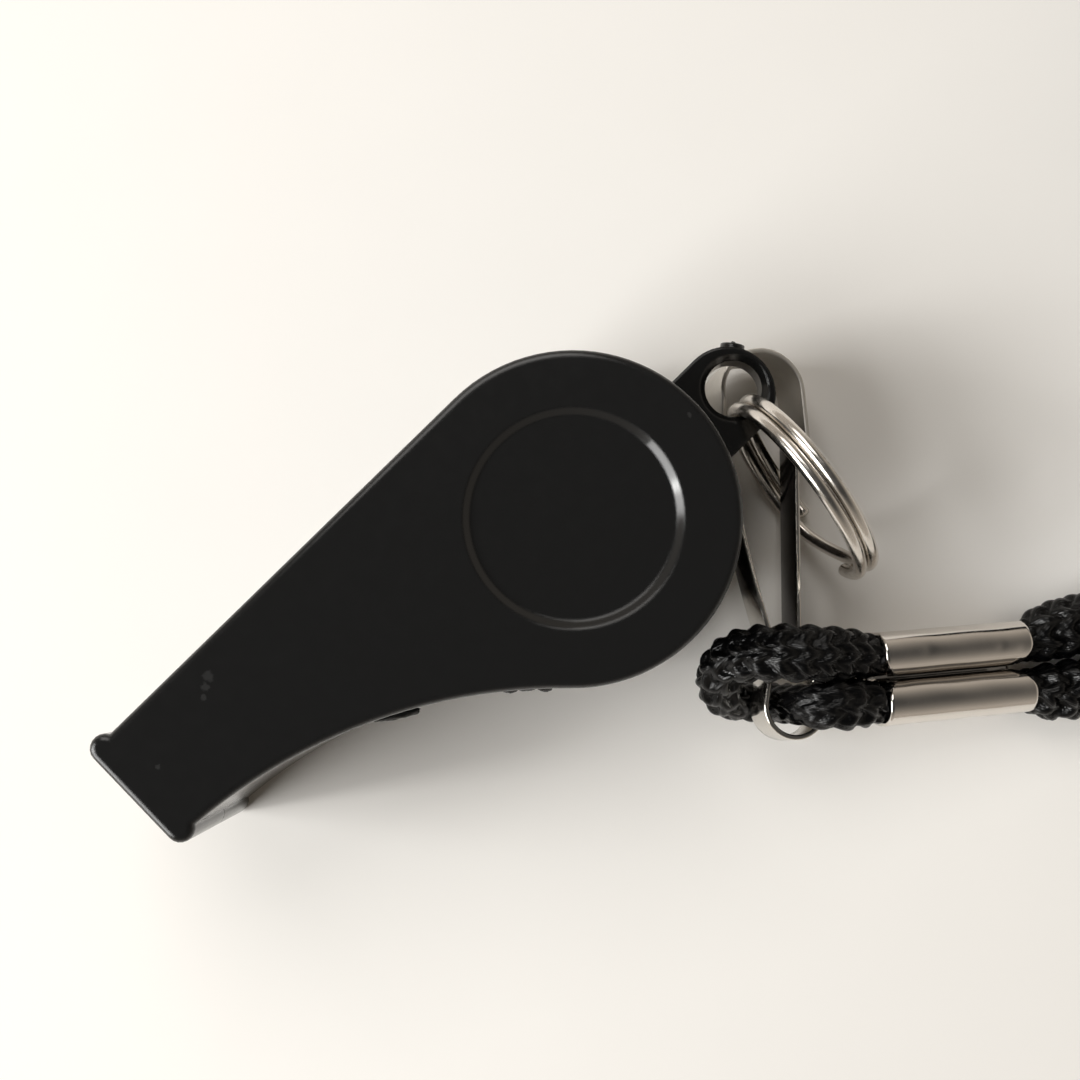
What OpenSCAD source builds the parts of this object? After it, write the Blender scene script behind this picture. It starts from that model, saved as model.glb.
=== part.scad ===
// Moulded pea whistle lying on its side, with split ring, strip hook and a neck lanyard.
// Millimetres. The origin is on the chamber's axis, on the side face that the whistle lies on.
// +X runs along the straight blowing edge from the mouth to the lug, +Y is the window side.

/* [Whistle body] */
// Outer radius of the round sound chamber
chamber_r = 11.5; // [10:0.25:13]
// Width of the whistle from side face to side face
body_w = 18; // [16:0.5:21]
// Thickness of the side faces and of the chamber wall
wall = 1.5; // [1.2:0.1:1.8]
// Distance from the chamber's axis to the mouth end
mouth_reach = 34.2; // [30:0.5:38]
// Height of the mouthpiece at the mouth end
mouth_h = 8.25; // [7.5:0.25:9]
// Radius of the hollow curve along the underside
under_r = 38; // [34:1:44]
// Rounding of the outer edges of the side faces
edge_r = 0.45; // [0.3:0.05:0.6]
// Gap left wherever one rigid piece is fitted to another
fit_gap = 0.05; // [0.03:0.01:0.08]

/* [Mouth and lips] */
// Radius of the tooth ridges at the mouth end
lip_r = 1; // [0.8:0.1:1.2]
// How far the ridges stand out of the upper and lower side
lip_out = 0.55; // [0.4:0.05:0.7]
// Height of the blowing slot at the mouth end
slot_h = 3.2; // [2.8:0.2:3.6]
// Height of the air duct where it meets the window
duct_h = 1.7; // [1.4:0.1:2]
// Thickness of the roof over the air duct
roof_t = 1.3; // [1.1:0.1:1.5]

/* [Sound window] */
// Distance from the chamber's axis to the near edge of the window
window_start = 8.5; // [8:0.25:9]
// Distance from the chamber's axis to the splitting edge
window_end = 2.5; // [2:0.25:3]
// Thickness of the splitting edge at its tip
edge_tip = 0.3; // [0.25:0.05:0.4]

/* [Side recess] */
// Radius of the round recess in each side face
recess_r = 7; // [6.2:0.1:8]
// Depth of the recess
recess_depth = 0.4; // [0.3:0.05:0.5]

/* [Lug] */
// Width of the lug across its parallel sides
lug_w = 7; // [6.4:0.2:7.6]
// Thickness of the lug
lug_t = 3; // [2.6:0.1:3.4]
// Distance from the chamber's wall out to the centre of the lug's hole
lug_out = 4.2; // [3.8:0.1:5]
// How far the hole sits below the chamber's axis
lug_drop = 1.15; // [0.8:0.05:1.4]
// Radius of the hole through the lug
hole_r = 2.1; // [2:0.05:2.2]
// How far the hole sits outside the centre of the lug's round end
hole_out = 0.65; // [0.4:0.05:0.8]

/* [Pea] */
// Radius of the pea
pea_r = 4.6; // [4:0.1:5]

/* [Split ring] */
// Outer diameter of the split ring
ring_d = 16; // [15.6:0.1:16.4]
// Thickness of the ring's wire
wire_d = 1; // [0.9:0.05:1.05]

/* [Hook] */
// Radius of the hook's round nose, to the middle of the strip
nose_r = 3.22; // [3:0.05:3.4]
// Radius of the hook's lower eye, to the middle of the strip
eye_r = 2.3; // [2.25:0.05:2.4]
// Distance between the centres of the nose and the eye
hook_len = 24.1; // [23.8:0.1:24.4]
// Thickness of the strip metal
strip_t = 0.4; // [0.35:0.05:0.45]
// Width of the strip
strip_w = 3.2; // [3:0.1:3.3]
// Width of the strip at the nose
nose_w = 4.8; // [4.4:0.1:5]

/* [Lanyard] */
// Diameter of the knitted cord
cord_d = 4.8; // [4.6:0.1:4.9]
// Length of the crimp
crimp_len = 12.3; // [11:0.1:13]
// Width of one barrel of the crimp
barrel_w = 3.55; // [3.4:0.05:3.7]
// Height of the crimp
barrel_h = 4.4; // [4.2:0.1:4.6]
// Thickness of the crimp's sheet metal
sheet_t = 0.4; // [0.3:0.05:0.5]
// Angle between the blowing edge and the direction in which the lanyard leaves
lay_angle = 44.7; // [40:1:48]

/* [Hidden] */
$fn = 96;
// One overrun serves all the cuts
over = 1;
// Steps on curved outlines
chamber_steps = 56;
under_steps = 22;
fillet_steps = 3;

// Places that follow from the sizes
half_w = body_w / 2;
chamber_in = chamber_r - wall;
mouth_low = chamber_r - mouth_h;
duct_top = chamber_r - roof_t;
duct_low = duct_top - duct_h;
slot_low = duct_top - slot_h;
lug_reach = chamber_r + lug_out;
lug_at = [lug_reach, -lug_drop];

// Centre of the underside's curve: it touches the chamber and passes the mouth's lower corner
corner = [-mouth_reach, mouth_low];
touch_d = chamber_r + under_r;
corner_d = norm(corner);
corner_share = (corner_d * corner_d + touch_d * touch_d - under_r * under_r) / (2 * corner_d * touch_d);
under_dir = atan2(corner[1], corner[0]) + acos(corner_share);
under_at = touch_d * [cos(under_dir), sin(under_dir)];
under_end_angle = atan2(corner[1] - under_at[1], corner[0] - under_at[0]);

function arc(at, r, from, to, steps) =
    [for (i = [0 : steps]) let (a = from + (to - from) * i / steps) at + r * [cos(a), sin(a)]];

// The side outline without its ridges, drawn in by inset: blowing edge, chamber, underside, mouth end
function mouth_angle(inset) = acos((inset - mouth_reach - under_at[0]) / (under_r + inset));
function chamber_arc(inset) = arc([0, 0], chamber_r - inset, 90, under_dir - 360, chamber_steps);
function under_arc(inset, to, last) =
    let (from = under_dir - 180)
    [for (i = [1 : last]) let (a = from + (to - from) * i / under_steps)
        under_at + (under_r + inset) * [cos(a), sin(a)]];
function plain_outline(inset) = concat(
    [[inset - mouth_reach, chamber_r - inset]],
    chamber_arc(inset),
    under_arc(inset, mouth_angle(inset), under_steps));

// The same with a round tooth ridge above and below the mouth
lip_steps = 8;
lip_high_at = [lip_r - mouth_reach, chamber_r + lip_out - lip_r];
lip_low_at = [lip_r - mouth_reach, mouth_low - lip_out + lip_r];
function meet_angle(inset) =
    let (d = norm(lip_low_at - under_at), big = under_r + inset, small = lip_r - inset)
    atan2(lip_low_at[1] - under_at[1], lip_low_at[0] - under_at[0])
        - acos((d * d + big * big - small * small) / (2 * d * big));
function outline(inset) =
    let (r = lip_r - inset,
         meet = meet_angle(inset),
         met = under_at + (under_r + inset) * [cos(meet), sin(meet)],
         low_start = atan2(met[1] - lip_low_at[1], met[0] - lip_low_at[0]))
    concat(
        arc(lip_high_at, r, 180, asin((lip_r - lip_out - inset) / r), lip_steps),
        chamber_arc(inset),
        under_arc(inset, meet, under_steps - 1),
        arc(lip_low_at, r, low_start, -180, lip_steps));

// A solid skinned through rings of points, closed at both ends
module skin(rings) {
    n = len(rings[0]);
    last = len(rings) - 1;
    points = [for (ring = rings) each ring];
    sides = [for (k = [0 : last - 1], i = [0 : n - 1], half = [0, 1])
        half == 0 ? [k * n + i, k * n + (i + 1) % n, (k + 1) * n + (i + 1) % n]
                  : [k * n + i, (k + 1) * n + (i + 1) % n, (k + 1) * n + i]];
    ends = [[for (i = [n - 1 : -1 : 0]) i], [for (i = [0 : n - 1]) last * n + i]];
    polyhedron(points = points, faces = concat(sides, ends));
}

// Half of the moulding's outside, from a rounded side face to the seam, with both ends cut flat
module half_form() {
    bends = [for (k = [0 : fillet_steps]) 90 * k / fillet_steps];
    rings = concat(
        [[for (p = outline(edge_r)) [p[0], p[1], -over]]],
        [for (b = bends)
            [for (p = outline(edge_r - edge_r * sin(b))) [p[0], p[1], edge_r - edge_r * cos(b)]]],
        [[for (p = outline(0)) [p[0], p[1], half_w + over]]]);
    difference() {
        skin(rings);
        for (low = [-2 * over, half_w]) translate([-mouth_reach - over, -chamber_r - over, low])
            cube([mouth_reach + chamber_r + 2 * over, 2 * chamber_r + 3 * over, 2 * over]);
    }
}

// Air duct: a slot at the mouth that narrows towards the window
duct_throat_share = 0.7;
module duct() {
    throat = -mouth_reach * duct_throat_share;
    translate([0, 0, wall]) linear_extrude(body_w - 2 * wall)
        polygon([[-mouth_reach - over, slot_low], [throat, duct_low], [-window_end, duct_low],
                 [-window_end, duct_top], [-mouth_reach - over, duct_top]]);
}

// Sound window through the roof, with the ramp that leads up from the splitting edge
ramp_run_share = 0.5;
module window() {
    tip_y = sqrt(chamber_in * chamber_in - window_end * window_end) + edge_tip;
    floor_y = sqrt(chamber_in * chamber_in - window_start * window_start) - over;
    ramp_end = chamber_r * ramp_run_share - window_end;
    translate([0, 0, wall]) linear_extrude(body_w - 2 * wall)
        polygon([[-window_start, floor_y], [-window_end, floor_y], [-window_end, tip_y],
                 [ramp_end, chamber_r], [ramp_end, chamber_r + over], [-window_start, chamber_r + over]]);
}

// Moulding pocket under the duct's floor, which keeps the walls even
floor_t = wall;
module pocket() {
    difference() {
        translate([0, 0, wall]) linear_extrude(body_w - 2 * wall) polygon(plain_outline(wall));
        cylinder(r = chamber_r, h = body_w);
        translate([-chamber_r, -chamber_r - over, 0])
            cube([2 * chamber_r + over, 2 * chamber_r + 2 * over, body_w]);
        linear_extrude(body_w)
            polygon([[-mouth_reach, slot_low - floor_t],
                     [-mouth_reach * duct_throat_share, duct_low - floor_t], [0, duct_low - floor_t],
                     [0, chamber_r + over], [-mouth_reach, chamber_r + over]]);
        translate([-mouth_reach, -chamber_r, 0]) cube([2 * wall, 2 * chamber_r, body_w]);
    }
}

module cavity() {
    translate([0, 0, wall]) cylinder(r = chamber_in, h = body_w - 2 * wall);
    duct();
    window();
    pocket();
}

// Shallow round recess with a sloping rim
rim_run_share = 1.3;
module recess() {
    rim = recess_depth * rim_run_share;
    rotate_extrude()
        polygon([[0, -over], [recess_r + rim, -over], [recess_r + rim, 0],
                 [recess_r, recess_depth], [0, recess_depth]]);
}

// Weld joint: a tongue on the upper half in a groove of the lower half
tongue_t = 0.5;
tongue_h = 0.5;
module weld_band(side_gap, h) {
    inset = (wall - tongue_t) / 2;
    difference() {
        translate([0, 0, half_w - h]) linear_extrude(h + tongue_h)
            difference() {
                polygon(plain_outline(inset - side_gap));
                polygon(plain_outline(inset + tongue_t + side_gap));
            }
        translate([-mouth_reach - over, -chamber_r - over, 0])
            cube([3 * wall + over, 2 * chamber_r + 2 * over, body_w]);
        translate([-window_start - wall, 0, 0])
            cube([window_start + chamber_r * ramp_run_share, chamber_r + over, body_w]);
    }
}

// Lug at mid width: a parallel-sided tab with a round end and the stub of the mould's gate
gate_stub_angle = 37;
module lug() {
    end_at = [lug_reach - hole_out, -lug_drop];
    stub_r = edge_r;
    translate([0, 0, half_w - lug_t / 2]) difference() {
        union() {
            translate([end_at[0], end_at[1], 0]) cylinder(d = lug_w, h = lug_t);
            translate([chamber_in, end_at[1] - lug_w / 2, 0]) cube([end_at[0] - chamber_in, lug_w, lug_t]);
            translate([end_at[0], end_at[1], lug_t / 2]) rotate(gate_stub_angle) translate([lug_w / 2, 0, 0])
                rotate([0, 90, 0]) cylinder(r = 2 * stub_r, h = 2 * stub_r, center = true);
        }
        translate([0, 0, lug_t / 2]) cylinder(r = chamber_r + fit_gap, h = lug_t);
    }
}

// The lug's hole, with its rims broken
module lug_hole() {
    rim = edge_r;
    low = half_w - lug_t / 2;
    translate([lug_at[0], lug_at[1], low]) rotate_extrude()
        polygon([[0, -over], [hole_r + rim, -over], [hole_r + rim, 0], [hole_r, rim], [hole_r, lug_t - rim],
                 [hole_r + rim, lug_t], [hole_r + rim, lug_t + over], [0, lug_t + over]]);
}

module left_shell() {
    color([0.11, 0.11, 0.11]) difference() {
        union() {
            half_form();
            lug();
        }
        cavity();
        recess();
        lug_hole();
        weld_band(fit_gap, tongue_h + fit_gap);
    }
}

module right_shell() {
    color([0.13, 0.13, 0.13]) difference() {
        union() {
            translate([0, 0, body_w]) mirror([0, 0, 1]) half_form();
            weld_band(0, tongue_h);
        }
        cavity();
        translate([0, 0, body_w]) mirror([0, 0, 1]) recess();
    }
}

// The pea lies on the lower side face, near the chamber's wall
pea_angle = -60;
pea_gap = 0.15;
module pea() {
    orbit = chamber_in - pea_r - pea_gap;
    color([0.72, 0.55, 0.36])
        translate([orbit * cos(pea_angle), orbit * sin(pea_angle), wall + pea_r + fit_gap])
            sphere(r = pea_r);
}

// What hangs from the lug is placed from the hole's axis: x along the lanyard, y across it
module hang() {
    translate([lug_at[0], lug_at[1], 0]) rotate(-lay_angle) children();
}

function unit(v) = v / norm(v);
function rise(t) = t <= 0 ? 0 : t >= 1 ? 1 : t * t * (3 - 2 * t);

// A tube swept along points; each point may carry its own half width and half height
function tangent(p, i) = unit(p[min(i + 1, len(p) - 1)] - p[max(i - 1, 0)]);
function across(t) = unit(cross([0, 0, 1], t));
function tube_ring(at, t, half_across, half_up, sides) =
    let (s = across(t), u = cross(t, s))
    [for (k = [0 : sides - 1]) let (a = -360 * (k + 0.5) / sides)
        at + half_across * cos(a) * s + half_up * sin(a) * u];
module tube(points, halves, sides) {
    skin([for (i = [0 : len(points) - 1])
        tube_ring(points[i], tangent(points, i), halves[i][0], halves[i][1], sides)]);
}

// A smooth curve through hand-chosen points, with steps rings between each two
function curve_at(p0, p1, p2, p3, t) =
    (2 * p1 + (p2 - p0) * t + (2 * p0 - 5 * p1 + 4 * p2 - p3) * t * t
     + (3 * p1 - p0 - 3 * p2 + p3) * t * t * t) / 2;
function smooth(p, steps) = concat(
    [for (i = [0 : len(p) - 2], k = [0 : steps - 1])
        curve_at(p[max(i - 1, 0)], p[i], p[i + 1], p[min(i + 2, len(p) - 1)], k / steps)],
    [p[len(p) - 1]]);

// Split ring: two turns of wire side by side, which cross over where the ends lie
ring_dir = -54;
table_gap = 0.35;
seat_gap = 0.02;
cross_angle = -48;
cross_spread = 26;
coil_gap = 0.04;
ring_steps = 72;
ring_sides = 8;
ring_r = (ring_d - wire_d) / 2;
// It stands on the table and bears on the outer side of the lug's hole, just under the upper rim
ring_up = ring_d / 2 + table_gap;
seat_up = half_w + lug_t / 2 - edge_r - ring_up;
seat_in = hole_r - wire_d / 2 - seat_gap;
coil_half = (wire_d + coil_gap) / 2;
ring_out = sqrt(seat_in * seat_in - coil_half * coil_half) + sqrt(ring_r * ring_r - seat_up * seat_up);
function ring_point(a) =
    let (turn = a - cross_angle,
         side = rise((turn - 360 + cross_spread) / (2 * cross_spread)) - 1 / 2)
    [ring_r * cos(a), side * (wire_d + coil_gap), ring_r * sin(a)];
module split_ring() {
    first = cross_angle + cross_spread;
    last = cross_angle + 720 - cross_spread;
    color([0.75, 0.74, 0.72]) hang() rotate(ring_dir) translate([ring_out, 0, ring_up])
        skin([for (i = [0 : ring_steps])
            let (a = first + (last - first) * i / ring_steps, at = ring_point(a),
                 out = [cos(a), 0, sin(a)], side = [0, 1, 0])
            [for (k = [0 : ring_sides - 1]) let (b = 360 * (k + 1 / 2) / ring_sides)
                at + wire_d / 2 * (cos(b) * side + sin(b) * out)]]);
}

// Hook: one bent strip whose free end is the sprung gate
nose_angle = -147.7;
nose_beyond = 1.67;
nose_aside = 2.2;
hook_pitch = -4;
hook_roll = 12;
hook_turn = 4.6;
leg_bow_r = 91;
waist_y = -19.6;
waist_gap = 0.85;
nose_drop = 5.2;
gate_top = -3;
gate_gap = 0.1;
root_gap = 0.06;
waist_round = 1.6;
leg_steps = 14;
bend_steps = 26;
// The middle of the nose, which holds the ring's wire: out from the ring's centre and to one side
nose_out = ring_r + nose_beyond;
hook_at = (ring_out + nose_out * cos(nose_angle)) * [cos(ring_dir), sin(ring_dir), 0]
    + nose_aside * [-sin(ring_dir), cos(ring_dir), 0] + [0, 0, ring_up + nose_out * sin(nose_angle)];
module place_hook() {
    hang() translate(hook_at) rotate([hook_pitch, hook_roll, 0]) rotate(hook_turn) children();
}

function bow_x(y) = nose_r - y * y / (2 * leg_bow_r);
eye_at = [0, -hook_len];
function eye_tangent(p) = acos(eye_r / norm(p - eye_at));
function eye_angle(p) = atan2(p[1] - eye_at[1], p[0] - eye_at[0]);
waist_left = [-bow_x(waist_y), waist_y];
root = [waist_gap, waist_y];
eye_from = eye_angle(waist_left) + eye_tangent(waist_left);
eye_to = 360 + eye_angle(root) - eye_tangent(root);
eye_start = eye_at + eye_r * [cos(eye_from), sin(eye_from)];
waist_above = [-bow_x(waist_y + waist_round), waist_y + waist_round];
waist_below = waist_left + waist_round * unit(eye_start - waist_left);
root_seat = root - (strip_t / 2 + root_gap) * unit(root - eye_at);
function bend(a, b, c, steps) = [for (i = [0 : steps]) let (t = i / steps)
    (1 - t) * (1 - t) * a + 2 * t * (1 - t) * b + t * t * c];
function body_path() = concat(
    [for (i = [0 : 3]) let (y = -nose_drop * (1 - i / 4)) [bow_x(y), y]],
    arc([0, 0], nose_r, 0, 180, bend_steps),
    [for (i = [1 : leg_steps]) let (y = (waist_y + waist_round) * i / (leg_steps + 1)) [-bow_x(y), y]],
    bend(waist_above, waist_left, waist_below, 6),
    arc(eye_at, eye_r, eye_from, eye_to, bend_steps),
    [root_seat]);
gate_tip = [bow_x(gate_top) - strip_t - gate_gap, gate_top];

// The strip's outline on both sides of its middle line
function side_of(p, i, off) = let (t = tangent(p, i)) p[i] + off * [-t[1], t[0]];
function strip_outline(p) = concat(
    [for (i = [0 : len(p) - 1]) side_of(p, i, strip_t / 2)],
    [for (i = [len(p) - 1 : -1 : 0]) side_of(p, i, -strip_t / 2)]);

// The strip is wide round the nose and narrows on the back leg
taper_from = 0;
taper_to = -3;
module strip_widths() {
    reach = hook_len + 2 * eye_r;
    top = nose_r + strip_t;
    rotate([90, 0, -90]) linear_extrude(top)
        polygon([[-top, -nose_w / 2], [-taper_from, -nose_w / 2], [-taper_to, -strip_w / 2],
                 [reach, -strip_w / 2], [reach, strip_w / 2], [-taper_to, strip_w / 2],
                 [-taper_from, nose_w / 2], [-top, nose_w / 2]]);
    translate([-strip_t / 2, -nose_drop - over, -nose_w / 2])
        cube([top + strip_t, nose_drop + over + top, nose_w]);
    translate([-strip_t / 2, -reach, -strip_w / 2]) cube([top + strip_t, reach, strip_w]);
}

module hook_body() {
    color([0.72, 0.71, 0.69]) place_hook() intersection() {
        translate([0, 0, -nose_w / 2]) linear_extrude(nose_w) polygon(strip_outline(body_path()));
        strip_widths();
    }
}

// The gate springs from the waist and rests inside the nose
module hook_gate() {
    along = unit(gate_tip - root);
    side = strip_t / 2 * [-along[1], along[0]];
    tilt = atan2(along[1], along[0]);
    color([0.62, 0.61, 0.59]) place_hook() translate([0, 0, -strip_w / 2]) linear_extrude(strip_w)
        polygon(concat(arc(root, strip_t / 2, tilt + 90, tilt + 270, 8),
                       [gate_tip - side, gate_tip + side]));
}

// Crimp: sheet metal wrapped round both runs of the cord, its edges tucked in between them
crimp_left = hook_at + [8.73, -21.85, 2.15];
crimp_run = [12, 1, -2.75];
crimp_dir = unit(crimp_run);
crimp_mid = crimp_left + crimp_len / 2 * crimp_dir;
crimp_yaw = atan2(crimp_dir[1], crimp_dir[0]);
crimp_dip = -asin(crimp_dir[2]);
tuck_slit = 0.15;
tuck_share = 0.7;
tab_round = 1.3;
module place_crimp() {
    hang() translate(crimp_mid) rotate([0, crimp_dip, crimp_yaw]) children();
}
function round_box(w, h, r, at) = concat(
    arc(at + [w / 2 - r, h / 2 - r], r, 0, 90, 8), arc(at + [r - w / 2, h / 2 - r], r, 90, 180, 8),
    arc(at + [r - w / 2, r - h / 2], r, 180, 270, 8), arc(at + [w / 2 - r, r - h / 2], r, 270, 360, 8));
module barrels(inset) {
    for (side = [-1, 1])
        rotate([90, 0, 90]) linear_extrude(crimp_len + (inset > 0 ? over : 0), center = true)
            polygon(round_box(barrel_w - 2 * inset, barrel_h - 2 * inset, barrel_w / 2 - inset - fit_gap,
                              [side * barrel_w / 2, 0]));
}
module tab_corner() {
    difference() {
        translate([0, -tab_round, 0]) cube([tab_round + over, 2 * tab_round, barrel_h]);
        for (side = [-1, 1]) translate([0, side * (tab_round + tuck_slit / 2), -over])
            cylinder(r = tab_round, h = barrel_h + 2 * over);
    }
}
module crimp() {
    color([0.78, 0.77, 0.75]) place_crimp() difference() {
        union() {
            barrels(0);
            translate([-crimp_len / 2, -barrel_w / 2, -barrel_h / 2])
                cube([crimp_len, barrel_w, barrel_h / 2]);
        }
        barrels(sheet_t);
        translate([-crimp_len, -tuck_slit / 2, barrel_h / 2 - barrel_h * tuck_share])
            cube([2 * crimp_len, tuck_slit, barrel_h]);
        for (end = [0, 180]) rotate(end) translate([crimp_len / 2 - tab_round, 0, 0]) tab_corner();
    }
}

// Cord inside a barrel of the crimp, in the crimp's own directions
stub_half = [barrel_w / 2 - sheet_t - fit_gap, barrel_h / 2 - sheet_t - fit_gap];
crimp_side = across(crimp_dir);
function in_barrel(side, along) = crimp_mid + side * barrel_w / 2 * crimp_side + along * crimp_dir;

// The bight: out of the upper barrel, over the hook's waist, round and through its eye, and back to
// the lower barrel. Its points are counted from the middle of the hook's nose.
bight_steps = 3;
bight_sides = 10;
bight_route = [[6.18, -19.8, 3.75], [3.98, -19.7, 4.95], [1.38, -19.6, 5.35], [-0.82, -19.7, 4.75],
    [-2.32, -20.4, 3.45], [-3.02, -21.6, 1.75], [-2.52, -23, 0.15], [-1.42, -23.6, -1.15],
    [-0.22, -23.7, -1.65], [0.88, -23.7, -1.35], [1.68, -23.7, -0.15], [2.28, -23.7, 1.35],
    [2.88, -23.7, 2.85], [3.98, -23.7, 4.15], [5.78, -23.6, 4.05], [7.18, -23.55, 3.05]];
bight_halves = [[1.75, 2], [1.85, 1.9], [1.85, 1.8], [1.85, 1.8],
    [1.7, 1.8], [1.55, 1.8], [1.55, 1.7], [1.6, 1.5],
    [1.6, 1.25], [1.6, 1.15], [1.6, 1.1], [1.55, 1.1],
    [1.55, 1.1], [1.7, 1.15], [1.85, 1.5], [1.8, 1.8]];
mouth_out = 0.4;
function bight_path() = concat([in_barrel(1, 0)],
    smooth(concat([in_barrel(1, -crimp_len / 2 - mouth_out)], [for (p = bight_route) hook_at + p],
                  [in_barrel(-1, -crimp_len / 2 - mouth_out)]), bight_steps), [in_barrel(-1, 0)]);
function bight_sizes() = concat([stub_half],
    smooth(concat([stub_half], bight_halves, [stub_half]), bight_steps), [stub_half]);
module cord_bight() {
    color([0.08, 0.08, 0.08]) hang() tube(bight_path(), bight_sizes(), bight_sides);
}

// Hank: two layers of two loops, which spiral in, climb along a run and spiral out again
cord_r = cord_d / 2;
hank_at = [70, 45.3];
hank_lay = 44.7;
hank_len = 84;
fold_r = 11.6;
loop_step = 5.6;
layer_step = 5.3;
layer_turns = 2;
waist_in = 4.2;
hank_to = 3.75;
loop_rings = 24;
hank_sides = 6;
tie_w = 6;
tie_t = 0.8;
tie_gap = 0.4;
fold_out = fold_r + layer_turns * loop_step;
run_half = hank_len / 2 - cord_r - fold_out;
run_share = run_half / (4 * run_half + PI * (fold_r + fold_out));
hank_from = -run_share;
function loop_r(s) = s < layer_turns ? fold_out - loop_step * s : fold_r + loop_step * (s - layer_turns);
function waist_share(y) = pow(cos(90 * min(1, abs(y) / run_half)), 2);
function fold_angle(turn) = 180 * (turn - run_share) / (1 / 2 - 2 * run_share);
function loop_xy(turn, r) =
    turn < run_share ? let (y = run_half * turn / run_share) [waist_in * waist_share(y) - r, y]
    : turn < 1 / 2 - run_share ? let (a = 180 - fold_angle(turn)) [r * cos(a), run_half + r * sin(a)]
    : turn < 1 / 2 + run_share ? let (y = run_half * (1 / 2 - turn) / run_share)
        [r - waist_in * waist_share(y), y]
    : turn < 1 - run_share ? let (a = -fold_angle(turn - 1 / 2)) [r * cos(a), r * sin(a) - run_half]
    : let (y = run_half * (turn - 1) / run_share) [waist_in * waist_share(y) - r, y];
// Across and along the hank, and up: at the waist the loops lie on the tie
function hank_point(s) =
    let (xy = loop_xy(s - floor(s), loop_r(s)),
         climb = rise((s - layer_turns + 1 / 4) * 2),
         lift = abs(xy[1]) < run_half ? (tie_t + tie_gap) * waist_share(xy[1]) : 0)
    [hank_at[0], hank_at[1], cord_r + layer_step * climb + lift]
        + xy[1] * hank_along + xy[0] * hank_aside;
hank_along = [cos(hank_lay), sin(hank_lay), 0];
hank_aside = [-sin(hank_lay), cos(hank_lay), 0];
wound_rings = round((hank_to - hank_from) * loop_rings);
hank_points = concat([hank_point(hank_from) - cord_d * hank_along],
    [for (i = [0 : wound_rings]) hank_point(hank_from + (hank_to - hank_from) * i / wound_rings)],
    [hank_point(hank_to) - cord_d * hank_aside]);
hank_rings = wound_rings + 2;
near_rings = 6;
hank_gap = min([for (i = [0 : hank_rings - near_rings], j = [i + near_rings : hank_rings])
    norm(hank_points[i] - hank_points[j])]) - cord_d;
function path_len(p) = norm(p[1] - p[0]) + (len(p) > 2 ? path_len([for (i = [1 : len(p) - 1]) p[i]]) : 0);
echo(hank_least_gap = hank_gap, hank_length = path_len(hank_points));
module cord_hank() {
    color([0.1, 0.1, 0.1]) hang()
        tube(hank_points, [for (p = hank_points) [cord_r, cord_r]], hank_sides);
}

// The two runs from the crimp to the hank
strand_steps = 3;
strand_sides = 8;
full_half = [cord_r, cord_r];
upper_route = [[25.8, -17.7, 2.5], [31.8, -16.1, 2.45], [36.2, -13.4, 2.45], [41.4, -8.7, 2.45],
    [46.6, -3.6, 2.9], [50, 2.2, 4.4], [51.2, 7.4, 6.6]];
lower_route = [[25.8, -22.4, 2.5], [32.2, -21.3, 2.45], [36.8, -19.5, 2.45], [43, -14.5, 2.45],
    [50.2, -7.7, 2.45], [57.2, -0.5, 2.45], [64.2, 6.6, 2.45]];
function strand_path(side, route, last, beyond) = concat([in_barrel(side, 0)],
    smooth(concat([in_barrel(side, crimp_len / 2 + mouth_out)], route,
                  [last + cord_d * unit(last - beyond)]), strand_steps), [last]);
function strand_halves(route) = concat([stub_half],
    smooth(concat([stub_half], [for (p = route) full_half], [full_half]), strand_steps), [full_half]);
upper_path = strand_path(1, upper_route, hank_points[hank_rings], hank_points[hank_rings - 1]);
lower_path = strand_path(-1, lower_route, hank_points[0], hank_points[1]);
module strand_upper() {
    color([0.09, 0.09, 0.09]) hang()
        tube(upper_path, strand_halves(upper_route), strand_sides);
}
module strand_lower() {
    color([0.09, 0.09, 0.09]) hang()
        tube(lower_path, strand_halves(lower_route), strand_sides);
}
echo(upper_length = path_len(upper_path), lower_length = path_len(lower_path));
echo(bight_length = path_len(bight_path()), hook_at = hook_at, ring_out = ring_out);

// The tie: a flat band round the hank's waist
module hank_tie() {
    half = fold_out - waist_in + cord_r + 2 * tie_gap;
    h = layer_step + cord_d + 2 * tie_gap;
    bend_r = cord_r;
    color([0.2, 0.2, 0.22]) hang() translate([hank_at[0], hank_at[1], h / 2 + tie_t])
        rotate([90, 0, hank_lay + 90]) linear_extrude(tie_w, center = true) difference() {
            polygon(round_box(2 * (half + tie_t), h + 2 * tie_t, bend_r + tie_t, [0, 0]));
            polygon(round_box(2 * half, h, bend_r, [0, 0]));
        }
}

left_shell();
right_shell();
pea();
split_ring();
hook_body();
hook_gate();
crimp();
cord_bight();
strand_upper();
strand_lower();
cord_hank();
hank_tie();
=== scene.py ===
"""Moulded pea whistle lying on its side, with split ring, strip hook and a knitted neck lanyard.

Lengths are written in millimetres in the part's own axes, as in its source, and MM turns them into metres.
Points on what hangs from the lug are in the lanyard's axes: x along the lanyard, y across it, z up.
"""
import math

import bpy
import numpy as np
from mathutils import Matrix, Vector


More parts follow.
